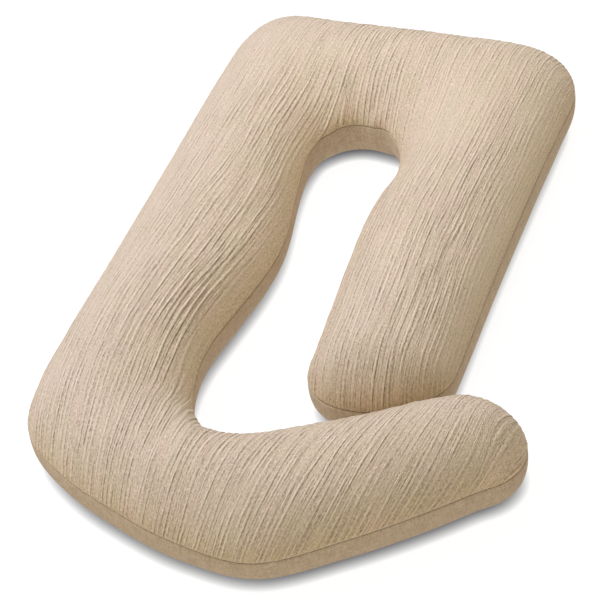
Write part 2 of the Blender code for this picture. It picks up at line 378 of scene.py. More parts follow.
@dataclass
class PillowForm:
    """The filled pillow as a closed net of four-sided faces, before it is swelled and ribbed."""

    # The roll's cut and its two ends.
    upper_fullness: float = 1.8
    lower_fullness: float = 3.4
    lower_spread: float = 1.05
    half_width: float = 0.135
    usual_seam: float = 0.088
    usual_top: float = 0.188
    pinch_depth: float = 0.0030
    pinch_reach: float = 0.0022
    leg_end: RoundEnd = RoundEnd(length=0.103, turn=math.radians(-8), fullness=2.0)
    arm_end: RoundEnd = RoundEnd(length=0.104, turn=math.radians(-13), fullness=1.9)
    end_lead: float = 1 / 3

    # The net's steps.
    reading_steps: int = 60
    profile_steps: int = 4000
    end_steps: int = 36
    cross_step: float = 0.0092
    leg_step: float = 0.012
    leg_power: int = 8
    lip_steps: tuple[float, ...] = (0.0, 0.0010, 0.0022, 0.0045, 0.0090)
    upper_step: float = 0.0094
    lower_step: float = 0.014
    base_shares: tuple[float, ...] = (0.94, 0.5, 0.0)
    smoothing: int = 3

    # The ribs' way over the net. The rows are places in the table of sections.
    beside_power: int = 6
    blend_reach: float = 0.07
    blend_step: float = 0.005
    inner_share: float = 0.35
    arm_rows: tuple[float, ...] = (21, 24, 27)
    arm_leans: tuple[float, ...] = (0.0, 0.52, 0.65)
    long_leg_rows: tuple[float, ...] = (12, 13.5, 19, 20.5)
    inner_pull: float = 0.5
    straight_inner_x: float = 0.272
    calm_shares: tuple[float, float] = (0.72, 0.95)
    calm_strength: float = 0.75
    relief_lengths: tuple[float, float] = (0.001, 0.009)

    def place_rows(self) -> np.ndarray:
        """Where cuts across the roll are made, counted in sections.

        They are closer where ribs run across the roll than where they run along it.
        """
        last = len(SECTIONS) - 1
        fine = np.linspace(0, last, last * self.reading_steps + 1)
        rows = curve_through(section_rows(), fine)
        outer, inner = rows[:, 0:2], rows[:, 3:5]
        middle = np.diff((outer + inner) / 2, axis=0)
        along_y = np.abs(middle[:, 1]) / lengths(middle)
        pace = self.cross_step + (self.leg_step - self.cross_step) * along_y ** self.leg_power
        steps = np.maximum(lengths(np.diff(outer, axis=0)), lengths(np.diff(inner, axis=0))) / pace
        count = np.concatenate([[0], np.cumsum(steps)])
        wanted = np.linspace(0, count[-1], math.ceil(count[-1]) + 1)
        return np.interp(wanted, count, fine)

    def stations(self) -> Stations:
        """Places round the seam: the outer side, the arm's end, the inner side, the leg's end."""
        places = self.place_rows()
        rows = curve_through(section_rows(), places)
        outer, outer_seam, inner, inner_seam, top, turn = np.split(rows, (2, 3, 5, 6, 7), axis=1)
        spine = (outer + inner) / 2
        turn = np.tan(np.radians(turn[:, 0]))
        steps = np.diff(spine[:, 1]) * (turn[1:] + turn[:-1]) / 2
        drift = np.concatenate([[0], np.cumsum(steps)])
        near_ends = np.array([self.end_lead, len(SECTIONS) - 1 - self.end_lead])
        near_ends = curve_through(section_rows(), near_ends)
        before = (near_ends[:, 0:2] + near_ends[:, 3:5]) / 2
        arm = self.round_end(self.arm_end, outer[-1], spine[-1], before[1])
        leg = self.round_end(self.leg_end, inner[0], spine[0], before[0])
        on_long_leg = np.interp(places, self.long_leg_rows, [0, 1, 1, 0])
        pull = (inner[:, 0] - self.straight_inner_x) * on_long_leg * self.inner_pull
        lean = np.interp(places, self.arm_rows, self.arm_leans)
        count, ends = len(rows), self.end_steps - 1
        index = np.arange(count)

        def between(first: np.ndarray, last: np.ndarray) -> np.ndarray:
            """Even steps round a closed end, without the numbers at its sides."""
            return np.linspace(first, last, self.end_steps + 1)[1:-1]

        def all_round(side: np.ndarray, share: float = 1.0) -> np.ndarray:
            """A number of each cut for all the places, with a share of it on the inner side."""
            return np.concatenate([side, between(side[-1], share * side[-1]), share * side[::-1],
                                   between(share * side[0], side[0])])

        edge = np.vstack([outer, arm, inner[::-1], leg])
        for _ in range(self.smoothing):
            edge = (np.roll(edge, 1, 0) + 2 * edge + np.roll(edge, -1, 0)) / 4
        return Stations(
            edge=edge,
            spine=np.vstack([spine, np.repeat(spine[-1:], ends, 0), spine[::-1],
                             np.repeat(spine[:1], ends, 0)]),
            seam=np.vstack([outer_seam, between(outer_seam[-1], inner_seam[-1]), inner_seam[::-1],
                            between(inner_seam[0], outer_seam[0])])[:, 0],
            top=np.vstack([top, between(top[-1], top[-1]), top[::-1],
                           between(top[0], top[0])])[:, 0],
            row=np.concatenate([index, np.full(ends, count - 1), index[::-1], np.zeros(ends, int)]),
            side_on=self.beside_ribs(edge, all_round(np.ones(count), self.inner_share)),
            half=all_round(np.abs(outer[:, 0] - spine[:, 0])),
            drift=all_round(drift),
            turn=all_round(turn),
            lean=np.concatenate([lean, between(lean[-1], np.array(0.0)), np.zeros(count + ends)]),
            inner_pull=np.concatenate([np.zeros(count + ends), pull[::-1], np.zeros(ends)]),
            calm=np.concatenate([np.zeros(count + ends), on_long_leg[::-1], np.zeros(ends)]))

    def beside_ribs(self, edge: np.ndarray, share: np.ndarray) -> np.ndarray:
        """How much the ribs keep beside the seam at each of its places.

        Args:
            edge: The seam's places, in order all round.
            share: The most at each place.

        Returns:
            0 where the seam runs across the ribs, and the share where it runs along them or round
            the short leg's end, into which they run straight.
        """
        step = np.roll(edge, -1, 0) - np.roll(edge, 1, 0)
        beside = share * (np.abs(step[:, 1]) / lengths(step)) ** self.beside_power
        beside[1 - self.end_steps:] = share[1 - self.end_steps:]
        around = np.concatenate([[0], np.cumsum(lengths(np.diff(edge, axis=0)))])
        total = around[-1] + np.linalg.norm(edge[0] - edge[-1])
        even = np.arange(0, total, self.blend_step)
        found = np.interp(even, around, beside, period=total)
        reach = round(2 * self.blend_reach / self.blend_step)
        weights = {k: math.exp(-(k * self.blend_step / self.blend_reach) ** 2)
                   for k in range(-reach, reach + 1)}
        blended = sum(weight * np.roll(found, k) for k, weight in weights.items())
        return np.interp(around, even, blended / sum(weights.values()), period=total)

    def round_end(self, shape: RoundEnd, side: np.ndarray, end: np.ndarray,
                  before: np.ndarray) -> np.ndarray:
        """Points of the seam round a closed end.

        Args:
            shape: The end's size and turn.
            side: The seam's point where the end starts.
            end: The last point of the roll's middle line.
            before: A point of that line before the end.

        Returns:
            The points from one side of the roll over its tip to the other, without the sides' own.
        """
        forward = (end - before) / np.linalg.norm(end - before)
        cos, sin = math.cos(shape.turn), math.sin(shape.turn)
        x, y = forward
        forward = np.array([cos * x - sin * y, sin * x + cos * y])
        angle = np.pi * np.arange(1, self.end_steps) / self.end_steps
        power = 2 / shape.fullness
        across = np.sign(np.cos(angle)) * np.abs(np.cos(angle)) ** power
        along = shape.length * np.sin(angle) ** power
        return end + np.outer(across, side - end) + np.outer(along, forward)

    def profile(self, layer: Layer) -> tuple[np.ndarray, np.ndarray, np.ndarray]:
        """The usual cut's half profile, from the seam to the middle line.

        Args:
            layer: Which of the two panels.

        Returns:
            Shares of the half width, shares of the panel's height, and lengths along the profile
            from the seam.
        """
        angle = np.linspace(0, np.pi / 2, self.profile_steps + 1)
        if layer is Layer.UPPER:
            power, height, spread = 2 / self.upper_fullness, self.usual_top - self.usual_seam, 1.0
        else:
            power, height, spread = 2 / self.lower_fullness, self.usual_seam, self.lower_spread
        share = np.cos(angle) ** power
        rise = np.minimum(spread * np.sin(angle) ** power, 1.0)
        steps = np.hypot(np.diff(share) * self.half_width, np.diff(rise) * height)
        length = np.concatenate([[0], np.cumsum(steps)])
        return share, rise, length

    def rings(self, layer: Layer) -> tuple[np.ndarray, np.ndarray, np.ndarray]:
        """Shares of the half width, shares of the height and lengths from the seam, of each ring.

        The first ring is the seam and the last is the middle line.
        """
        share, rise, length = self.profile(layer)
        if layer is Layer.UPPER:
            end, step = length[-1], self.upper_step
        else:
            end, step = length[np.argmax(rise >= 1.0)], self.lower_step
        lip = self.lip_steps[-1]
        count = round((end - lip) / step)
        wanted = np.concatenate([self.lip_steps, np.linspace(lip, end, count + 1)[1:]])
        if layer is Layer.LOWER:
            inside = np.interp(end, length, share) * np.array(self.base_shares)
            wanted = np.concatenate([wanted, np.interp(-inside, -share, length)])
        shares = np.interp(wanted, length, share)
        shares[-1] = 0.0
        return shares, np.interp(wanted, length, rise), wanted

    def build(self, centre: np.ndarray) -> "Net":
        """The whole net, placed so that the middle of the seam's outline is over the centre.

        Args:
            centre: The plan point that the middle of the pillow's outline goes to.

        Returns:
            The net of the pillow.
        """
        stations = self.stations()
        middle = (stations.edge.min(0) + stations.edge.max(0)) / 2
        count, rows = len(stations.row), stations.row.max() + 1
        net = Net(seam_count=count)
        reach = stations.edge - stations.spine
        width = lengths(reach)[:, None]
        loop_steps = lengths(np.roll(stations.edge, -1, 0) - stations.edge)
        turn = 2 * np.pi * np.concatenate([[0], np.cumsum(loop_steps)[:-1]]) / loop_steps.sum()
        radius = loop_steps.sum() / (2 * np.pi)
        round_x, round_y = radius * np.cos(turn), radius * np.sin(turn)
        for layer in Layer:
            shares, rises, down = self.rings(layer)
            goal, sign = (stations.top, 1) if layer is Layer.UPPER else (0.0, -1)
            rings = []
            for k, (share, rise, length) in enumerate(zip(shares, rises, down)):
                pinch = self.pinch_depth * math.exp(-(length / self.pinch_reach) ** 2)
                plan = stations.spine + reach * (share - pinch / width)
                relief = self.relief(stations, plan, share, length) if layer is Layer.UPPER else 0.0
                level = np.full(count, sign * length)
                values = {
                    "place": np.column_stack([plan - middle + centre,
                                              stations.seam + (goal - stations.seam) * rise]),
                    "cloth": np.column_stack([*self.on_cloth(stations, shares, down, k), level]),
                    "band": np.column_stack([round_x, round_y, level]),
                    "relief": np.broadcast_to(relief, count)}
                if k == 0:
                    rings.append(net.add(values) if layer is Layer.UPPER else np.arange(count))
                elif k < len(shares) - 1:
                    rings.append(net.add(values))
                else:
                    first = np.searchsorted(stations.row[:rows], np.arange(rows))
                    spine = net.add({key: rows_of[first] for key, rows_of in values.items()})
                    rings.append(spine[stations.row])
            for ring, inside in zip(rings, rings[1:]):
                net.join(ring, inside, layer)
        return net

    def on_cloth(self, stations: Stations, shares: np.ndarray, down: np.ndarray,
                 ring: int) -> tuple[np.ndarray, np.ndarray]:
        """Where one ring lies on the cloth, across its ribs and along them.

        Args:
            stations: The places round the seam.
            shares: The rings' shares of the half width.
            down: The rings' lengths from the seam.
            ring: Which ring.

        Returns:
            A place across the ribs and one along them, for each station.
        """
        reach = stations.edge - stations.spine
        spreads = (down[-1] - down) / self.half_width
        share, spread = shares[ring], spreads[ring]
        beside = np.abs(reach[:, 0]) * share / np.maximum(stations.half, 1e-6)
        wider = np.interp(beside, shares[::-1], spreads[::-1]) - beside
        across = stations.spine[:, 0] + reach[:, 0] * share + (
            np.sign(reach[:, 0]) * stations.half * wider * stations.side_on)
        across -= stations.inner_pull * (1 - (1 - share) ** 2)
        across += stations.lean * (spread - share) * self.half_width
        across -= stations.drift + stations.turn * reach[:, 1] * share
        return across, stations.spine[:, 1] + reach[:, 1] * spread

    def relief(self, stations: Stations, plan: np.ndarray, share: float,
               length: float) -> np.ndarray:
        """How much the ribs stand out on one ring of the upper panel.

        Args:
            stations: The places round the seam.
            plan: The ring's plan points.
            share: Its share of the half width.
            length: Its length from the seam.

        Returns:
            A number for each station: 0 is plain, and 1 is usual.
        """
        gain = np.ones(len(plan))
        for patch in PATCHES:
            away = (plan - (patch.x, patch.y)) / (patch.half_x, patch.half_y)
            gain += patch.gain * np.exp(-(away ** 2).sum(1))
        calm = self.calm_strength * stations.calm * smooth_step(share, *self.calm_shares)
        return gain * smooth_step(length, *self.relief_lengths) * (1 - calm)


class Net:
    """Points with their values, and faces between rings of them."""

    def __init__(self, seam_count: int) -> None:
        """Start an empty net.

        Args:
            seam_count: How many points the seam has. They are the net's first.
        """
        self.seam_count = seam_count
        self.values: dict[str, list[np.ndarray]] = {}
        self.faces: list[tuple[int, ...]] = []
        self.count = 0

    def add(self, values: dict[str, np.ndarray]) -> np.ndarray:
        """Add points.

        Args:
            values: Their places, under "place", and their other values, a row for each point.

        Returns:
            The points' numbers.
        """
        for key, rows in values.items():
            self.values.setdefault(key, []).append(rows)
        start = self.count
        self.count += len(values["place"])
        return np.arange(start, self.count)

    def join(self, ring: np.ndarray, inside: np.ndarray, layer: Layer) -> None:
        """Add the faces between a ring and the next one inside it.

        Args:
            ring: The outer ring's points, in order round the seam.
            inside: The inner ring's, where one point may serve several.
            layer: Which panel they belong to, which says which way the faces look.
        """
        after, inside_after = np.roll(ring, -1), np.roll(inside, -1)
        for corners in np.column_stack([ring, after, inside_after, inside]).tolist():
            face = tuple(corners[:3] if corners[2] == corners[3] else corners)
            self.faces.append(face if layer is Layer.UPPER else face[::-1])

    def seam(self) -> np.ndarray:
        """The seam's points, a row for each."""
        return self.values["place"][0]

    def to_object(self, name: str) -> bpy.types.Object:
        """The net as an object in the scene, with its values as attributes and its seam creased.

        Args:
            name: The object's name.

        Returns:
            The new object.
        """
        rows = {key: np.concatenate(parts) for key, parts in self.values.items()}
        mesh = bpy.data.meshes.new(name)
        mesh.from_pydata(rows.pop("place").tolist(), [], self.faces)
        for key, values in rows.items():
            kind, field = ("FLOAT_VECTOR", "vector") if values.ndim == 2 else ("FLOAT", "value")
            attribute = mesh.attributes.new(key, kind, "POINT")
            attribute.data.foreach_set(field, values.astype(np.float32).ravel())
        ends = np.empty(len(mesh.edges) * 2, np.int32)
        mesh.edges.foreach_get("vertices", ends)
        on_seam = (ends.reshape(-1, 2) < self.seam_count).all(1)
        crease = mesh.attributes.new("crease_edge", "FLOAT", "EDGE")
        crease.data.foreach_set("value", on_seam.astype(np.float32))
        return link(name, mesh)


def link(name: str, data: bpy.types.ID) -> bpy.types.Object:
    """A new object of that data in the scene."""
    made = bpy.data.objects.new(name, data)
    bpy.context.scene.collection.objects.link(made)
    return made


def vector_rows(items: bpy.types.bpy_prop_collection, field: str = "vector") -> np.ndarray:
    """One vector of each of a mesh's items, such as its points' places, a row for each."""
    found = np.empty(len(items) * 3, np.float32)
    items.foreach_get(field, found)
    return found.reshape(-1, 3)


def set_points(mesh: bpy.types.Mesh, points: np.ndarray) -> None:
    """Move a mesh's points."""
    mesh.vertices.foreach_set("co", points.astype(np.float32).ravel())
    mesh.update()


def settle(piece: bpy.types.Object) -> None:
    """Put what an object's modifiers make into its own mesh, and remove them."""
    evaluated = piece.evaluated_get(bpy.context.evaluated_depsgraph_get())
    old = piece.data
    made = bpy.data.meshes.new_from_object(evaluated)
    piece.modifiers.clear()
    piece.data = made
    made.name = piece.name
    bpy.data.meshes.remove(old)


@dataclass
class Filling:
    """Air pressure that swells the cover between its seam and its base, in a cloth simulation."""

    pressure: float = 4.0
    frames: int = 20
    start_inset: float = 0.0002
    free_from: float = 0.004
    free_at: float = 0.030
    most_move: float = 0.008
    cloth_mass: float = 0.3
    stretch_stiffness: float = 1.0
    shear_stiffness: float = 0.5
    bend_stiffness: float = 0.05
    weight_steps: int = 10

    def freedom(self, mesh: bpy.types.Mesh) -> np.ndarray:
        """How free each point is, from 0 at the seam and on the base to 1."""
        from_seam = np.abs(vector_rows(mesh.attributes["cloth"].data)[:, 2])
        from_base = vector_rows(mesh.vertices, "co")[:, 2]
        return (smooth_step(from_seam, self.free_from, self.free_at)
                * smooth_step(from_base, 0.0, self.free_at))

    def swell(self, piece: bpy.types.Object) -> None:
        """Run the simulation and keep its result in the piece's mesh.

        Args:
            piece: The pillow's net, with its "cloth" attribute.
        """
        mesh = piece.data
        free = self.freedom(mesh)
        inset = vector_rows(mesh.vertex_normals) * (self.start_inset * free)[:, None]
        start = vector_rows(mesh.vertices, "co") - inset
        set_points(mesh, start)
        held = piece.vertex_groups.new(name="held")
        steps = np.round((1 - free) * self.weight_steps)
        for step in range(1, self.weight_steps + 1):
            held.add(np.flatnonzero(steps == step).tolist(), step / self.weight_steps, "REPLACE")
        self.add_cloth(piece, held)
        scene = bpy.context.scene
        for number in range(1, self.frames + 1):
            scene.frame_set(number)
        evaluated = piece.evaluated_get(bpy.context.evaluated_depsgraph_get())
        moved = vector_rows(evaluated.data.vertices, "co") - start
        distance = np.maximum(lengths(moved), 1e-9)
        log.info("%s: swelled by %.1f mm on average and %.1f mm at most", piece.name,
                 distance.mean() * 1e3, distance.max() * 1e3)
        piece.modifiers.clear()
        piece.vertex_groups.clear()
        scene.frame_set(1)
        set_points(mesh, start + moved * (np.minimum(distance, self.most_move) / distance)[:, None])

    def add_cloth(self, piece: bpy.types.Object, held: bpy.types.VertexGroup) -> None:
        """Give the piece its cloth simulation, held where the group says."""
        cloth = piece.modifiers.new("swell", "CLOTH")
        settings = cloth.settings
        settings.mass = self.cloth_mass
        settings.tension_stiffness = self.stretch_stiffness
        settings.compression_stiffness = self.stretch_stiffness
        settings.shear_stiffness = self.shear_stiffness
        settings.bending_stiffness = self.bend_stiffness
        settings.use_pressure = True
        settings.uniform_pressure_force = self.pressure
        settings.effector_weights.gravity = 0
        settings.vertex_group_mass = held.name
        cloth.collision_settings.use_collision = False
        cloth.collision_settings.use_self_collision = False


# ---------------------------------------------------------------------------------------------
# Ribs, creases and stitches


def new_tree(name: str, inputs: dict[str, tuple[str, object]]) -> tuple[Graph, bpy.types.Node]:
    """A Geometry Nodes tree with one geometry in and out, and named inputs.

    Args:
        name: The tree's name.
        inputs: The socket type and the value of each named input.

    Returns:
        The tree's graph and its group input node.
    """
    tree = bpy.data.node_groups.new(name, "GeometryNodeTree")
    tree.interface.new_socket("Geometry", in_out="INPUT", socket_type="NodeSocketGeometry")
    tree.interface.new_socket("Geometry", in_out="OUTPUT", socket_type="NodeSocketGeometry")
    for key, (kind, _) in inputs.items():
        tree.interface.new_socket(key, in_out="INPUT", socket_type=kind)
    graph = Graph(tree)
    return graph, graph.node("NodeGroupInput")


def run_tree(piece: bpy.types.Object, graph: Graph, inputs: dict[str, tuple[str, object]]) -> None:
    """Put a tree on an object as a modifier, with its inputs set by their sockets' identifiers."""
    modifier = piece.modifiers.new(graph.tree.name, "NODES")
    modifier.node_group = graph.tree
    for item in graph.tree.interface.items_tree:
        if item.in_out == "INPUT" and item.name in inputs:
            modifier[item.identifier] = inputs[item.name][1]


class Grain(NamedTuple):
    """One noise over the cloth: its lumps' width and length, its layer and its detail."""

    wide: float
    long: float
    layer: float = 0.0
    detail: float = 0.0


class Along(NamedTuple):
    """One noise along each rib: how far one rib is from the next in it, lump length and layer."""

    apart: float
    length: float
    layer: float = 0.0


class RibKind(NamedTuple):
    """One set of ribs: their layer of noise, where it fades them in, and their half width."""

    layer: float
    low: float
    high: float
    half_width: float


class Rib(NamedTuple):
    """One set of ribs: their height, from 0 between them to 1, and the line of painted shade beside
    each.
    """

    height: Value
    edge: Value


@dataclass(frozen=True)
class RibPattern:
    """Where the raised ribs run: along Y, wandering, unevenly spaced, fading in and out.

    The same sums shape them in the mesh and sharpen them in the cloth's material.
    """

    pitch: float = 0.0098
    wander: float = 0.7
    waver: float = 0.22
    stagger: float = 0.9
    seed: float = 3.0
    wander_grain: Grain = Grain(0.070, 0.170)
    waver_grain: Grain = Grain(0.022, 0.070, layer=20.0)
    fade: Along = Along(3.71, 0.110)
    shift: Along = Along(2.37, 0.200, layer=9.0)
    beat: Along = Along(5.17, 0.021, layer=4.0)
    least_beat: float = 0.3
    beat_gain: float = 1.4
    edge_slope: float = 2.2
    main: RibKind = RibKind(40.0, 0.28, 0.56, 0.30)
    fine: RibKind = RibKind(60.0, 0.32, 0.56, 0.34)

    def inputs(self) -> dict[str, tuple[str, float]]:
        """A tree's inputs for these sizes."""
        sizes = {"Pitch": self.pitch, "Wander": self.wander, "Waver": self.waver,
                 "Stagger": self.stagger, "Seed": self.seed}
        return {key: ("NodeSocketFloat", size) for key, size in sizes.items()}

    def ribs(self, graph: Graph, cloth: Value, sizes: dict[str, Value | float]) -> tuple[Rib, Rib]:
        """The main and the fine ribs at a place.

        Args:
            graph: The tree that needs them.
            cloth: The place on the cloth: across the ribs, along them, and from the seam.
            sizes: The pattern's sizes, as inputs() names them.

        Returns:
            The main ribs and the fine ones.
        """
        across, along, _ = graph.parts(cloth)
        seed = sizes["Seed"]

        def noise(size: Grain) -> Value:
            place = graph.vector(across / size.wide, along / size.long, seed + size.layer)
            return graph.noise(place) - 0.5

        def rib(phase: Value, kind: RibKind) -> Rib:
            number = phase.rounded()

            def change(way: Along) -> Value:
                layer = seed + (kind.layer + way.layer)
                return graph.noise(graph.vector(number * way.apart, along / way.length, layer))

            shift = (change(self.shift) - 0.5) * sizes["Stagger"]
            away = ((phase - number - shift) / kind.half_width).absolute()
            beat = self.least_beat + self.beat_gain * change(self.beat)
            strength = change(self.fade).step(kind.low, kind.high) * beat
            return Rib(strength * (1 - away * away).at_least(0),
                       strength * (1 - self.edge_slope * (away - 1).absolute()).at_least(0))

        lines = (across / sizes["Pitch"] + sizes["Wander"] * noise(self.wander_grain)
                 + sizes["Waver"] * noise(self.waver_grain))
        return rib(lines, self.main), rib(2 * lines + 0.5, self.fine)


@dataclass
class Ribs:
    """The crinkled ribs of the upper panel, raised by Geometry Nodes."""

    pattern: RibPattern
    sunk: float = 0.0001
    height: float = 0.0010
    fine_height: float = 0.0004
    crumple: float = 0.0005
    small_crumple: Grain = Grain(0.0065, 0.013)
    large_crumple: Grain = Grain(0.020, 0.045, layer=9.0)

    def tree(self, ribbed: bpy.types.Material, plain: bpy.types.Material) -> tuple[Graph, dict]:
        """The tree that raises the ribs and gives both panels their cloth.

        Args:
            ribbed: The upper panel's material.
            plain: The lower panel's.

        Returns:
            The tree's graph and its inputs.
        """
        inputs = {
            **self.pattern.inputs(),
            "Sunk": ("NodeSocketFloat", self.sunk),
            "Height": ("NodeSocketFloat", self.height),
            "Fine Height": ("NodeSocketFloat", self.fine_height),
            "Crumple": ("NodeSocketFloat", self.crumple),
            "Ribbed Cloth": ("NodeSocketMaterial", ribbed),
            "Plain Cloth": ("NodeSocketMaterial", plain),
        }
        graph, start = new_tree("crinkled_ribs", inputs)
        given = {key: Value(graph, start.outputs[key]) for key in inputs}
        cloth = graph.value("GeometryNodeInputNamedAttribute", {"data_type": "FLOAT_VECTOR"},
                            {"Name": "cloth"}, "Attribute")
        relief = graph.value("GeometryNodeInputNamedAttribute", {"data_type": "FLOAT"},
                             {"Name": "relief"}, "Attribute")
        main, fine = self.pattern.ribs(graph, cloth, given)
        across, along, down = graph.parts(cloth)

        def crumple(size: Grain) -> Value:
            layer = given["Seed"] + size.layer
            return graph.noise(graph.vector(across / size.wide, along / size.long, layer)) - 0.5

        crumples = crumple(self.small_crumple) + crumple(self.large_crumple)
        rise = (main.height * given["Height"] + fine.height * given["Fine Height"]
                + crumples * given["Crumple"] - given["Sunk"]) * relief
        normal = graph.value("GeometryNodeInputNormal")
        # How steep the cloth stands, kept for the cloth's painted shade on steep faces.
        marked = graph.node("GeometryNodeStoreNamedAttribute",
                            {"data_type": "FLOAT", "domain": "POINT"},
                            {"Geometry": start.outputs["Geometry"], "Name": "painted_flank_shade",
                             "Value": 1 - graph.parts(normal)[2].absolute()})
        offset = graph.value("ShaderNodeVectorMath", {"operation": "SCALE"},
                             {"Vector": normal, "Scale": rise})
        moved = graph.node("GeometryNodeSetPosition", {},
                           {"Geometry": marked.outputs[0], "Offset": offset})
        above = graph.value("FunctionNodeCompare",
                            {"data_type": "FLOAT", "operation": "GREATER_THAN"},
                            {"A": down, "B": 0.0})
        whole = graph.node("GeometryNodeRealizeInstances", {}, {"Geometry": moved.outputs[0]})
        lower = graph.node("GeometryNodeSetMaterial", {},
                           {"Geometry": whole.outputs[0], "Material": given["Plain Cloth"]})
        upper = graph.node("GeometryNodeSetMaterial", {},
                           {"Geometry": lower.outputs[0], "Selection": above,
                            "Material": given["Ribbed Cloth"]})
        graph.node("NodeGroupOutput", {}, {"Geometry": upper.outputs[0]})
        return graph, inputs


@dataclass
class Pillow:
    """The filled and sewn cover: one closed piece."""

    filling: Filling
    ribs: Ribs
    name: str = "pillow_cover"
    refine_levels: int = 2
    most_triangles: int = 196_000

    def build(self, net: Net, ribbed: bpy.types.Material,
              plain: bpy.types.Material) -> bpy.types.Object:
        """Swell, refine and rib the cover.

        Args:
            net: The pillow's net.
            ribbed: The upper panel's material.
            plain: The lower panel's.

        Returns:
            The finished piece.
        """
        piece = net.to_object(self.name)
        log.info("%s: net of %d faces", self.name, len(net.faces))
        self.filling.swell(piece)
        finer = piece.modifiers.new("refine", "SUBSURF")
        finer.levels = finer.render_levels = self.refine_levels
        graph, inputs = self.ribs.tree(ribbed, plain)
        run_tree(piece, graph, inputs)
        settle(piece)
        fewer = piece.modifiers.new("thin", "DECIMATE")
        fewer.ratio = min(1.0, self.most_triangles / triangle_count(piece))
        settle(piece)
        piece.data.shade_smooth()
        log.info("%s: %d triangles", self.name, triangle_count(piece))
        return piece


@dataclass
class SeamThread:
    """The line of stitches that lies in the drawn-in seam all round the pillow."""

    name: str = "seam_thread"
    pitch: float = 0.0045
    length: float = 0.0041
    radius: float = 0.00085
    bead_segments: int = 6
    bead_rings: int = 5

    def tree(self, count: int, thread: bpy.types.Material) -> tuple[Graph, dict]:
        """The tree that lays a stitch at even steps along a closed line.

        Args:
            count: How many stitches there are.
            thread: Their material.

        Returns:
            The tree's graph and its inputs.
        """
        inputs = {
            "Count": ("NodeSocketInt", count),
            "Length": ("NodeSocketFloat", self.length),
            "Radius": ("NodeSocketFloat", self.radius),
            "Thread": ("NodeSocketMaterial", thread),
        }
        graph, start = new_tree("seam_stitches", inputs)
        given = {key: Value(graph, start.outputs[key]) for key in inputs}
        line = graph.node("GeometryNodeMeshToCurve", {}, {"Mesh": start.outputs["Geometry"]})
        even = graph.node("GeometryNodeResampleCurve", {"mode": "COUNT"},
                          {"Curve": line.outputs[0], "Count": given["Count"]})
        bead = graph.node("GeometryNodeMeshUVSphere", {},
                          {"Segments": self.bead_segments, "Rings": self.bead_rings,
                           "Radius": given["Radius"]})
        long = graph.vector(given["Length"] / (2 * given["Radius"]), 1.0, 1.0)
        stitch = graph.node("GeometryNodeTransform", {},
                            {"Geometry": bead.outputs[0], "Scale": long})
        way = graph.value("GeometryNodeInputTangent")
        turn = graph.value("FunctionNodeAlignRotationToVector", {"axis": "X"}, {"Vector": way})
        laid = graph.node("GeometryNodeInstanceOnPoints", {},
                          {"Points": even.outputs[0], "Instance": stitch.outputs[0],
                           "Rotation": turn})
        real = graph.node("GeometryNodeRealizeInstances", {}, {"Geometry": laid.outputs[0]})
        done = graph.node("GeometryNodeSetMaterial", {},
                          {"Geometry": real.outputs[0], "Material": given["Thread"]})
        graph.node("NodeGroupOutput", {}, {"Geometry": done.outputs[0]})
        return graph, inputs

    def build(self, seam: np.ndarray, thread: bpy.types.Material) -> bpy.types.Object:
        """Lay the stitches.

        Args:
            seam: The seam's points in order, a row for each.
            thread: The stitches' material.

        Returns:
            The finished piece.
        """
        count = len(seam)
        mesh = bpy.data.meshes.new(self.name)
        mesh.from_pydata(seam.tolist(), [(i, (i + 1) % count) for i in range(count)], [])
        piece = link(self.name, mesh)
        around = lengths(np.roll(seam, -1, 0) - seam).sum()
        graph, inputs = self.tree(round(around / self.pitch), thread)
        run_tree(piece, graph, inputs)
        settle(piece)
        piece.data.shade_smooth()
        log.info("%s: %.2f m, %d triangles", self.name, around, triangle_count(piece))
        return piece


def triangle_count(piece: bpy.types.Object) -> int:
    """How many triangles a piece's mesh makes."""
    return sum(len(face.vertices) - 2 for face in piece.data.polygons)


# ---------------------------------------------------------------------------------------------
# Finishes

# The middle of a noise's range, over which a pattern goes from one look to the other.
NOISE_MIDDLE = (0.35, 0.65)


def new_material(name: str) -> tuple[bpy.types.Material, Graph]:
    """An empty node material and its graph."""
    material = bpy.data.materials.new(name)
    material.use_nodes = True
    return material, Graph(material.node_tree)


@dataclass(frozen=True)
class ClothColours:
    """The cloth's colours, which both panels share. The crest colour is a painted highlight on the
    ribs, the line colour painted shade beside them, and the colour for steep faces painted shade.
    """

    light: Colour = (0.660, 0.540, 0.430)
    dark: Colour = (0.450, 0.350, 0.260)
    # Painted highlight for the ribs' crests.
    crest_highlight: Colour = (0.740, 0.620, 0.510)
    # Painted shade for the lines beside the ribs.
    line: Colour = (0.250, 0.180, 0.115)
    fleck: Colour = (0.300, 0.220, 0.150)
    # Painted shade, darker and warmer, for steep faces.
    painted_flank_shade: Colour = (0.98, 0.905, 0.71)
    level: Colour = (1.0, 1.0, 1.0)
    rosy: Colour = (1.015, 0.99, 0.99)
    straw: Colour = (0.99, 1.0, 0.96)


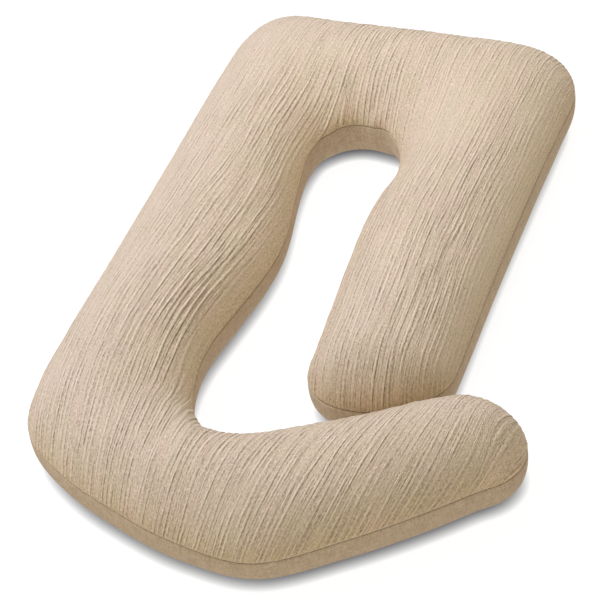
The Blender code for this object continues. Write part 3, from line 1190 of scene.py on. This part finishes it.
@dataclass(frozen=True)
class RibbedCloth:
    """Oatmeal cloth with crinkled ribs, finely heathered, with painted highlights on the ribs'
    crests and painted shade beside them and on steep faces.
    """

    pattern: RibPattern
    colours: ClothColours = ClothColours()
    roughness: float = 0.92
    shine: float = 0.2
    sheen: float = 0.15

    # How much each thing lightens the cloth, above its middle tone, and covers its colour.
    middle_tone: float = 0.5
    heather_tone: float = 0.25
    slub_tone: float = 1.4
    grain_tone: float = 2.2
    # Painted highlight: how much the ribs' crests are lightened.
    crest_highlight_share: float = 0.45
    fleck_share: float = 0.5
    fleck_range: tuple[float, float] = (0.60, 0.76)
    # Painted shade: how dark the lines beside the main and fine ribs are, and how much dots break
    # them.
    main_line_shade: float = 0.60
    fine_line_shade: float = 0.45
    least_dots: float = 0.35
    # Painted shade on steep faces: the seam range, and how much everywhere and how much more near
    # the seam.
    seam_range: tuple[float, float] = (0.010, 0.090)
    flank_shade_share: float = 0.4
    flank_shade_at_seam: float = 0.6

    # How much each thing bends the light, in millimetres.
    rib_bump: float = 0.75
    fine_bump: float = 0.65
    grain_bump: float = 1.2
    slub_bump: float = 0.9
    twill_bump: float = 0.75

    slub: Grain = Grain(0.0017, 0.0070, layer=1.0)
    grain: Grain = Grain(0.0024, 0.0024, layer=2.0, detail=1.0)
    twill: Grain = Grain(0.0020, 0.0080, layer=3.0)
    heather: Grain = Grain(0.010, 0.028, layer=4.0, detail=2.0)
    tint: Grain = Grain(0.050, 0.080, layer=5.0, detail=1.0)
    fleck: Grain = Grain(0.0028, 0.0040, layer=6.0, detail=1.0)
    dots: Grain = Grain(0.0050, 0.0045, layer=7.0)

    def build(self) -> bpy.types.Material:
        """The material."""
        material, graph = new_material("oatmeal_ribbed_cloth")
        cloth = graph.value("ShaderNodeAttribute", {"attribute_name": "cloth"}, {}, "Vector")
        relief = graph.value("ShaderNodeAttribute", {"attribute_name": "relief"}, {}, "Fac")
        painted_flank_shade = graph.value("ShaderNodeAttribute", {"attribute_name": "painted_flank_shade"}, {}, "Fac")
        across, along, down = graph.parts(cloth)
        sizes = {key: size for key, (_, size) in self.pattern.inputs().items()}
        main, fine = self.pattern.ribs(graph, cloth, sizes)

        def noise(size: Grain, x: Value = across, y: Value = along) -> Value:
            return graph.noise(graph.vector(x / size.wide, y / size.long, size.layer), size.detail)

        slub = noise(self.slub) - 0.5
        grain = noise(self.grain) - 0.5
        twill = noise(self.twill, across + along, across - along) - 0.5
        heather = noise(self.heather) - 0.5
        tint = noise(self.tint)
        fleck = noise(self.fleck).step(*self.fleck_range)
        dots = noise(self.dots).step(*NOISE_MIDDLE)

        colours = self.colours
        tone = (self.middle_tone + self.heather_tone * heather + self.slub_tone * slub
                + self.grain_tone * grain)
        base = graph.colour_mix(tone, colours.dark, colours.light)
        # Painted highlight: the ribs' crests are lightened.
        base = graph.colour_mix(self.crest_highlight_share * main.height * relief, base, colours.crest_highlight)
        base = graph.colour_mix(self.fleck_share * fleck, base, colours.fleck)
        # Painted shade: a dark line beside each rib, broken by dots.
        lines = self.main_line_shade * main.edge + self.fine_line_shade * fine.edge
        base = graph.colour_mix(lines * (self.least_dots + dots) * relief, base, colours.line)
        hue = graph.colour_mix(tint.step(*NOISE_MIDDLE), colours.straw, colours.rosy)
        base = graph.tinted(base, hue)
        # Painted shade: steep faces are tinted darker and warmer, most of all near the seam.
        near_seam = 1 - down.step(*self.seam_range)
        slant = painted_flank_shade * (self.flank_shade_share + self.flank_shade_at_seam * near_seam)
        base = graph.tinted(base, graph.colour_mix(slant, colours.level, colours.painted_flank_shade))

        weave = self.grain_bump * grain + self.slub_bump * slub + self.twill_bump * twill
        ribs = self.rib_bump * main.height + self.fine_bump * fine.height
        height = weave + ribs * relief
        graph.surface({"Base Color": base, "Roughness": self.roughness, "Sheen Weight": self.sheen,
                       "Normal": graph.bump(height), "Specular IOR Level": self.shine})
        return material


@dataclass(frozen=True)
class PlainCloth:
    """The same cloth on the lower panel, where it is smooth, with painted shade: darker and warmer
    all over, and darker still towards its base.
    """

    colours: ClothColours = ClothColours()
    # Painted shade: the whole lower panel is tinted darker and warmer.
    tone: Colour = (0.86, 0.81, 0.70)
    # Painted shade towards the base.
    base_shade_tone: Colour = (0.96, 0.94, 0.91)
    roughness: float = 0.95
    shine: float = 0.2
    middle_tone: float = 0.42
    streak_tone: float = 1.0
    yarn_tone: float = 2.1
    upright_tone: float = 0.7
    # Where the painted shade towards the base runs, downwards from the seam.
    base_shade_range: tuple[float, float] = (0.020, 0.090)
    yarn_bump: float = 1.2
    streak_bump: float = 0.6
    upright_bump: float = 0.6
    streak: Grain = Grain(0.022, 0.004, detail=2.0)
    yarn: Grain = Grain(0.0028, 0.0020, detail=1.0)
    upright: Grain = Grain(0.0045, 0.030, detail=1.0)

    def build(self) -> bpy.types.Material:
        """The material."""
        material, graph = new_material("oatmeal_plain_cloth")
        band = graph.value("ShaderNodeAttribute", {"attribute_name": "band"}, {}, "Vector")
        x, y, down = graph.parts(band)

        def noise(size: Grain) -> Value:
            place = graph.vector(x / size.wide, y / size.wide, down / size.long)
            return graph.noise(place, size.detail) - 0.5

        streak, yarn, upright = noise(self.streak), noise(self.yarn), noise(self.upright)
        colours = self.colours
        tone = (self.middle_tone + self.streak_tone * streak + self.yarn_tone * yarn
                + self.upright_tone * upright)
        base = graph.colour_mix(tone, colours.dark, colours.light)
        # Painted shade: darker and warmer all over.
        base = graph.tinted(base, self.tone)
        # Painted shade: darker towards the base.
        low = (-1 * down).step(*self.base_shade_range)
        base = graph.tinted(base, graph.colour_mix(low, colours.level, self.base_shade_tone))
        height = (self.yarn_bump * yarn + self.streak_bump * streak
                  + self.upright_bump * upright)
        graph.surface({"Base Color": base, "Roughness": self.roughness,
                       "Normal": graph.bump(height), "Specular IOR Level": self.shine})
        return material


@dataclass(frozen=True)
class Thread:
    """The seam's dark taupe sewing thread, twisted."""

    colour: Colour = (0.050, 0.042, 0.034)
    light: Colour = (0.110, 0.092, 0.075)
    roughness: float = 0.6
    ply: float = 0.0006
    bump_distance: float = 0.0002
    bump_strength: float = 0.6

    def build(self) -> bpy.types.Material:
        """The material."""
        material, graph = new_material("taupe_thread")
        place = graph.value("ShaderNodeTexCoord", {}, {}, "Object")
        x, y, z = graph.parts(place)
        slant = graph.vector((x + z) / self.ply, (y + z) / self.ply, z / (2 * self.ply))
        twist = graph.noise(slant)
        base = graph.colour_mix(twist.step(*NOISE_MIDDLE), self.colour, self.light)
        bump = graph.bump(twist, self.bump_distance, self.bump_strength)
        graph.surface({"Base Color": base, "Roughness": self.roughness, "Normal": bump})
        return material


# ---------------------------------------------------------------------------------------------
# The studio


@dataclass
class Lamp:
    """A square soft light that points at the pillow."""

    name: str
    place: tuple[float, float, float]
    size: float
    power: float
    colour: Colour = (1.0, 1.0, 1.0)

    def build(self) -> bpy.types.Object:
        """The light."""
        light = bpy.data.lights.new(self.name, "AREA")
        light.size = self.size
        light.energy = self.power
        light.color = self.colour
        lamp = link(self.name, light)
        lamp.location = self.place
        lamp.rotation_euler = (-Vector(self.place)).to_track_quat("-Z", "Y").to_euler()
        return lamp


@dataclass
class Studio:
    """The floor, the lights and the camera."""

    floor_width: float = 30.0
    floor_colour: Colour = (0.10, 0.10, 0.10)
    floor_glow: Colour = (0.93, 0.93, 0.93)
    floor_roughness: float = 0.9
    # The painted contact shadow in the floor's glow: its reach, samples, depth, lean and colour.
    contact_reach: float = 0.023
    contact_samples: int = 8
    contact_power: float = 1.08
    contact_lean: tuple[float, float, float] = (-0.68, 0.03, 0.73)
    contact_shadow_colour: Colour = (0.0, 0.005, 0.020)
    sky_colour: Colour = (0.43, 0.39, 0.315)
    lamps: tuple[Lamp, ...] = (
        Lamp("left_softbox", (-2.3, 0.0, 3.3), 2.0, 110.0, (0.93, 1.00, 1.28)),
        Lamp("front_softbox", (0.0, -2.3, 3.3), 2.0, 40.0, (0.95, 1.00, 0.90)),
        Lamp("back_softbox", (0.1, 0.9, 1.5), 0.8, 9.0, (1.00, 1.00, 0.92)),
    )
    camera_place: tuple[float, float, float] = (1.2983, -3.0902, 3.0292)
    azimuth: float = math.radians(24.4181)
    elevation: float = math.radians(41.7806)
    roll: float = math.radians(-7.3532)
    lens: float = 144.0
    sensor: float = 36.0

    def build(self) -> None:
        """Everything round the object."""
        self.build_floor()
        self.build_sky()
        for lamp in self.lamps:
            lamp.build()
        self.build_camera()
        bpy.context.scene.view_settings.view_transform = "Standard"

    def build_floor(self) -> None:
        """A plain pale floor that glows evenly, with a painted contact shadow: its glow darkens
        where the pillow lies close to it, deeper on the pillow's +X side.
        """
        half = self.floor_width / 2
        mesh = bpy.data.meshes.new("floor")
        corners = [(-half, -half, 0), (half, -half, 0), (half, half, 0), (-half, half, 0)]
        mesh.from_pydata(corners, [], [(0, 1, 2, 3)])
        floor = link("floor", mesh)
        material, graph = new_material("white_floor")
        # Painted shadow: ambient occlusion, leaning towards -X, darkens the floor's glow near the
        # pillow.
        near = graph.value("ShaderNodeAmbientOcclusion", {"samples": self.contact_samples},
                           {"Distance": self.contact_reach, "Normal": self.contact_lean}, "AO")
        painted_shadow_glow = graph.colour_mix(near ** self.contact_power, self.contact_shadow_colour, self.floor_glow)
        graph.surface({"Base Color": (*self.floor_colour, 1.0), "Roughness": self.floor_roughness,
                       "Emission Color": painted_shadow_glow, "Emission Strength": 1.0})
        mesh.materials.append(material)

    def build_sky(self) -> None:
        """Even, slightly warm light from all round."""
        world = bpy.data.worlds.new("studio_sky")
        world.use_nodes = True
        graph = Graph(world.node_tree)
        sky = graph.node("ShaderNodeBackground", {}, {"Color": (*self.sky_colour, 1.0)})
        graph.node("ShaderNodeOutputWorld", {}, {"Surface": sky.outputs[0]})
        bpy.context.scene.world = world

    def build_camera(self) -> None:
        """The camera, at the photograph's viewing angle."""
        look = Vector((-math.sin(self.azimuth) * math.cos(self.elevation),
                       math.cos(self.azimuth) * math.cos(self.elevation),
                       -math.sin(self.elevation)))
        level = look.cross(Vector((0, 0, 1))).normalized()
        upright = level.cross(look)
        right = level * math.cos(self.roll) + upright * math.sin(self.roll)
        data = bpy.data.cameras.new("camera")
        data.lens = self.lens
        data.sensor_width = self.sensor
        camera = link("camera", data)
        camera.matrix_world = Matrix.Translation(self.camera_place) @ Matrix(
            (right, right.cross(look), -look)).transposed().to_4x4()
        bpy.context.scene.camera = camera


def main() -> None:
    """Build the pillow and its studio, attach each piece to the body, and hide the imported solid.
    """
    logging.basicConfig(level=logging.INFO, format="%(name)s: %(message)s")
    pattern = RibPattern()
    low, high = (np.array(corner) for corner in CAD_BOX)
    net = PillowForm().build((low + high)[:2] / 2)
    cover = Pillow(Filling(), Ribs(pattern)).build(net, RibbedCloth(pattern).build(),
                                                   PlainCloth().build())
    thread = SeamThread().build(net.seam(), Thread().build())
    for piece in (cover, thread):
        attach(piece, BODY)
        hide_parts(NODE)
    Studio().build()
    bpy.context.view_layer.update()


if __name__ == "__main__":
    main()
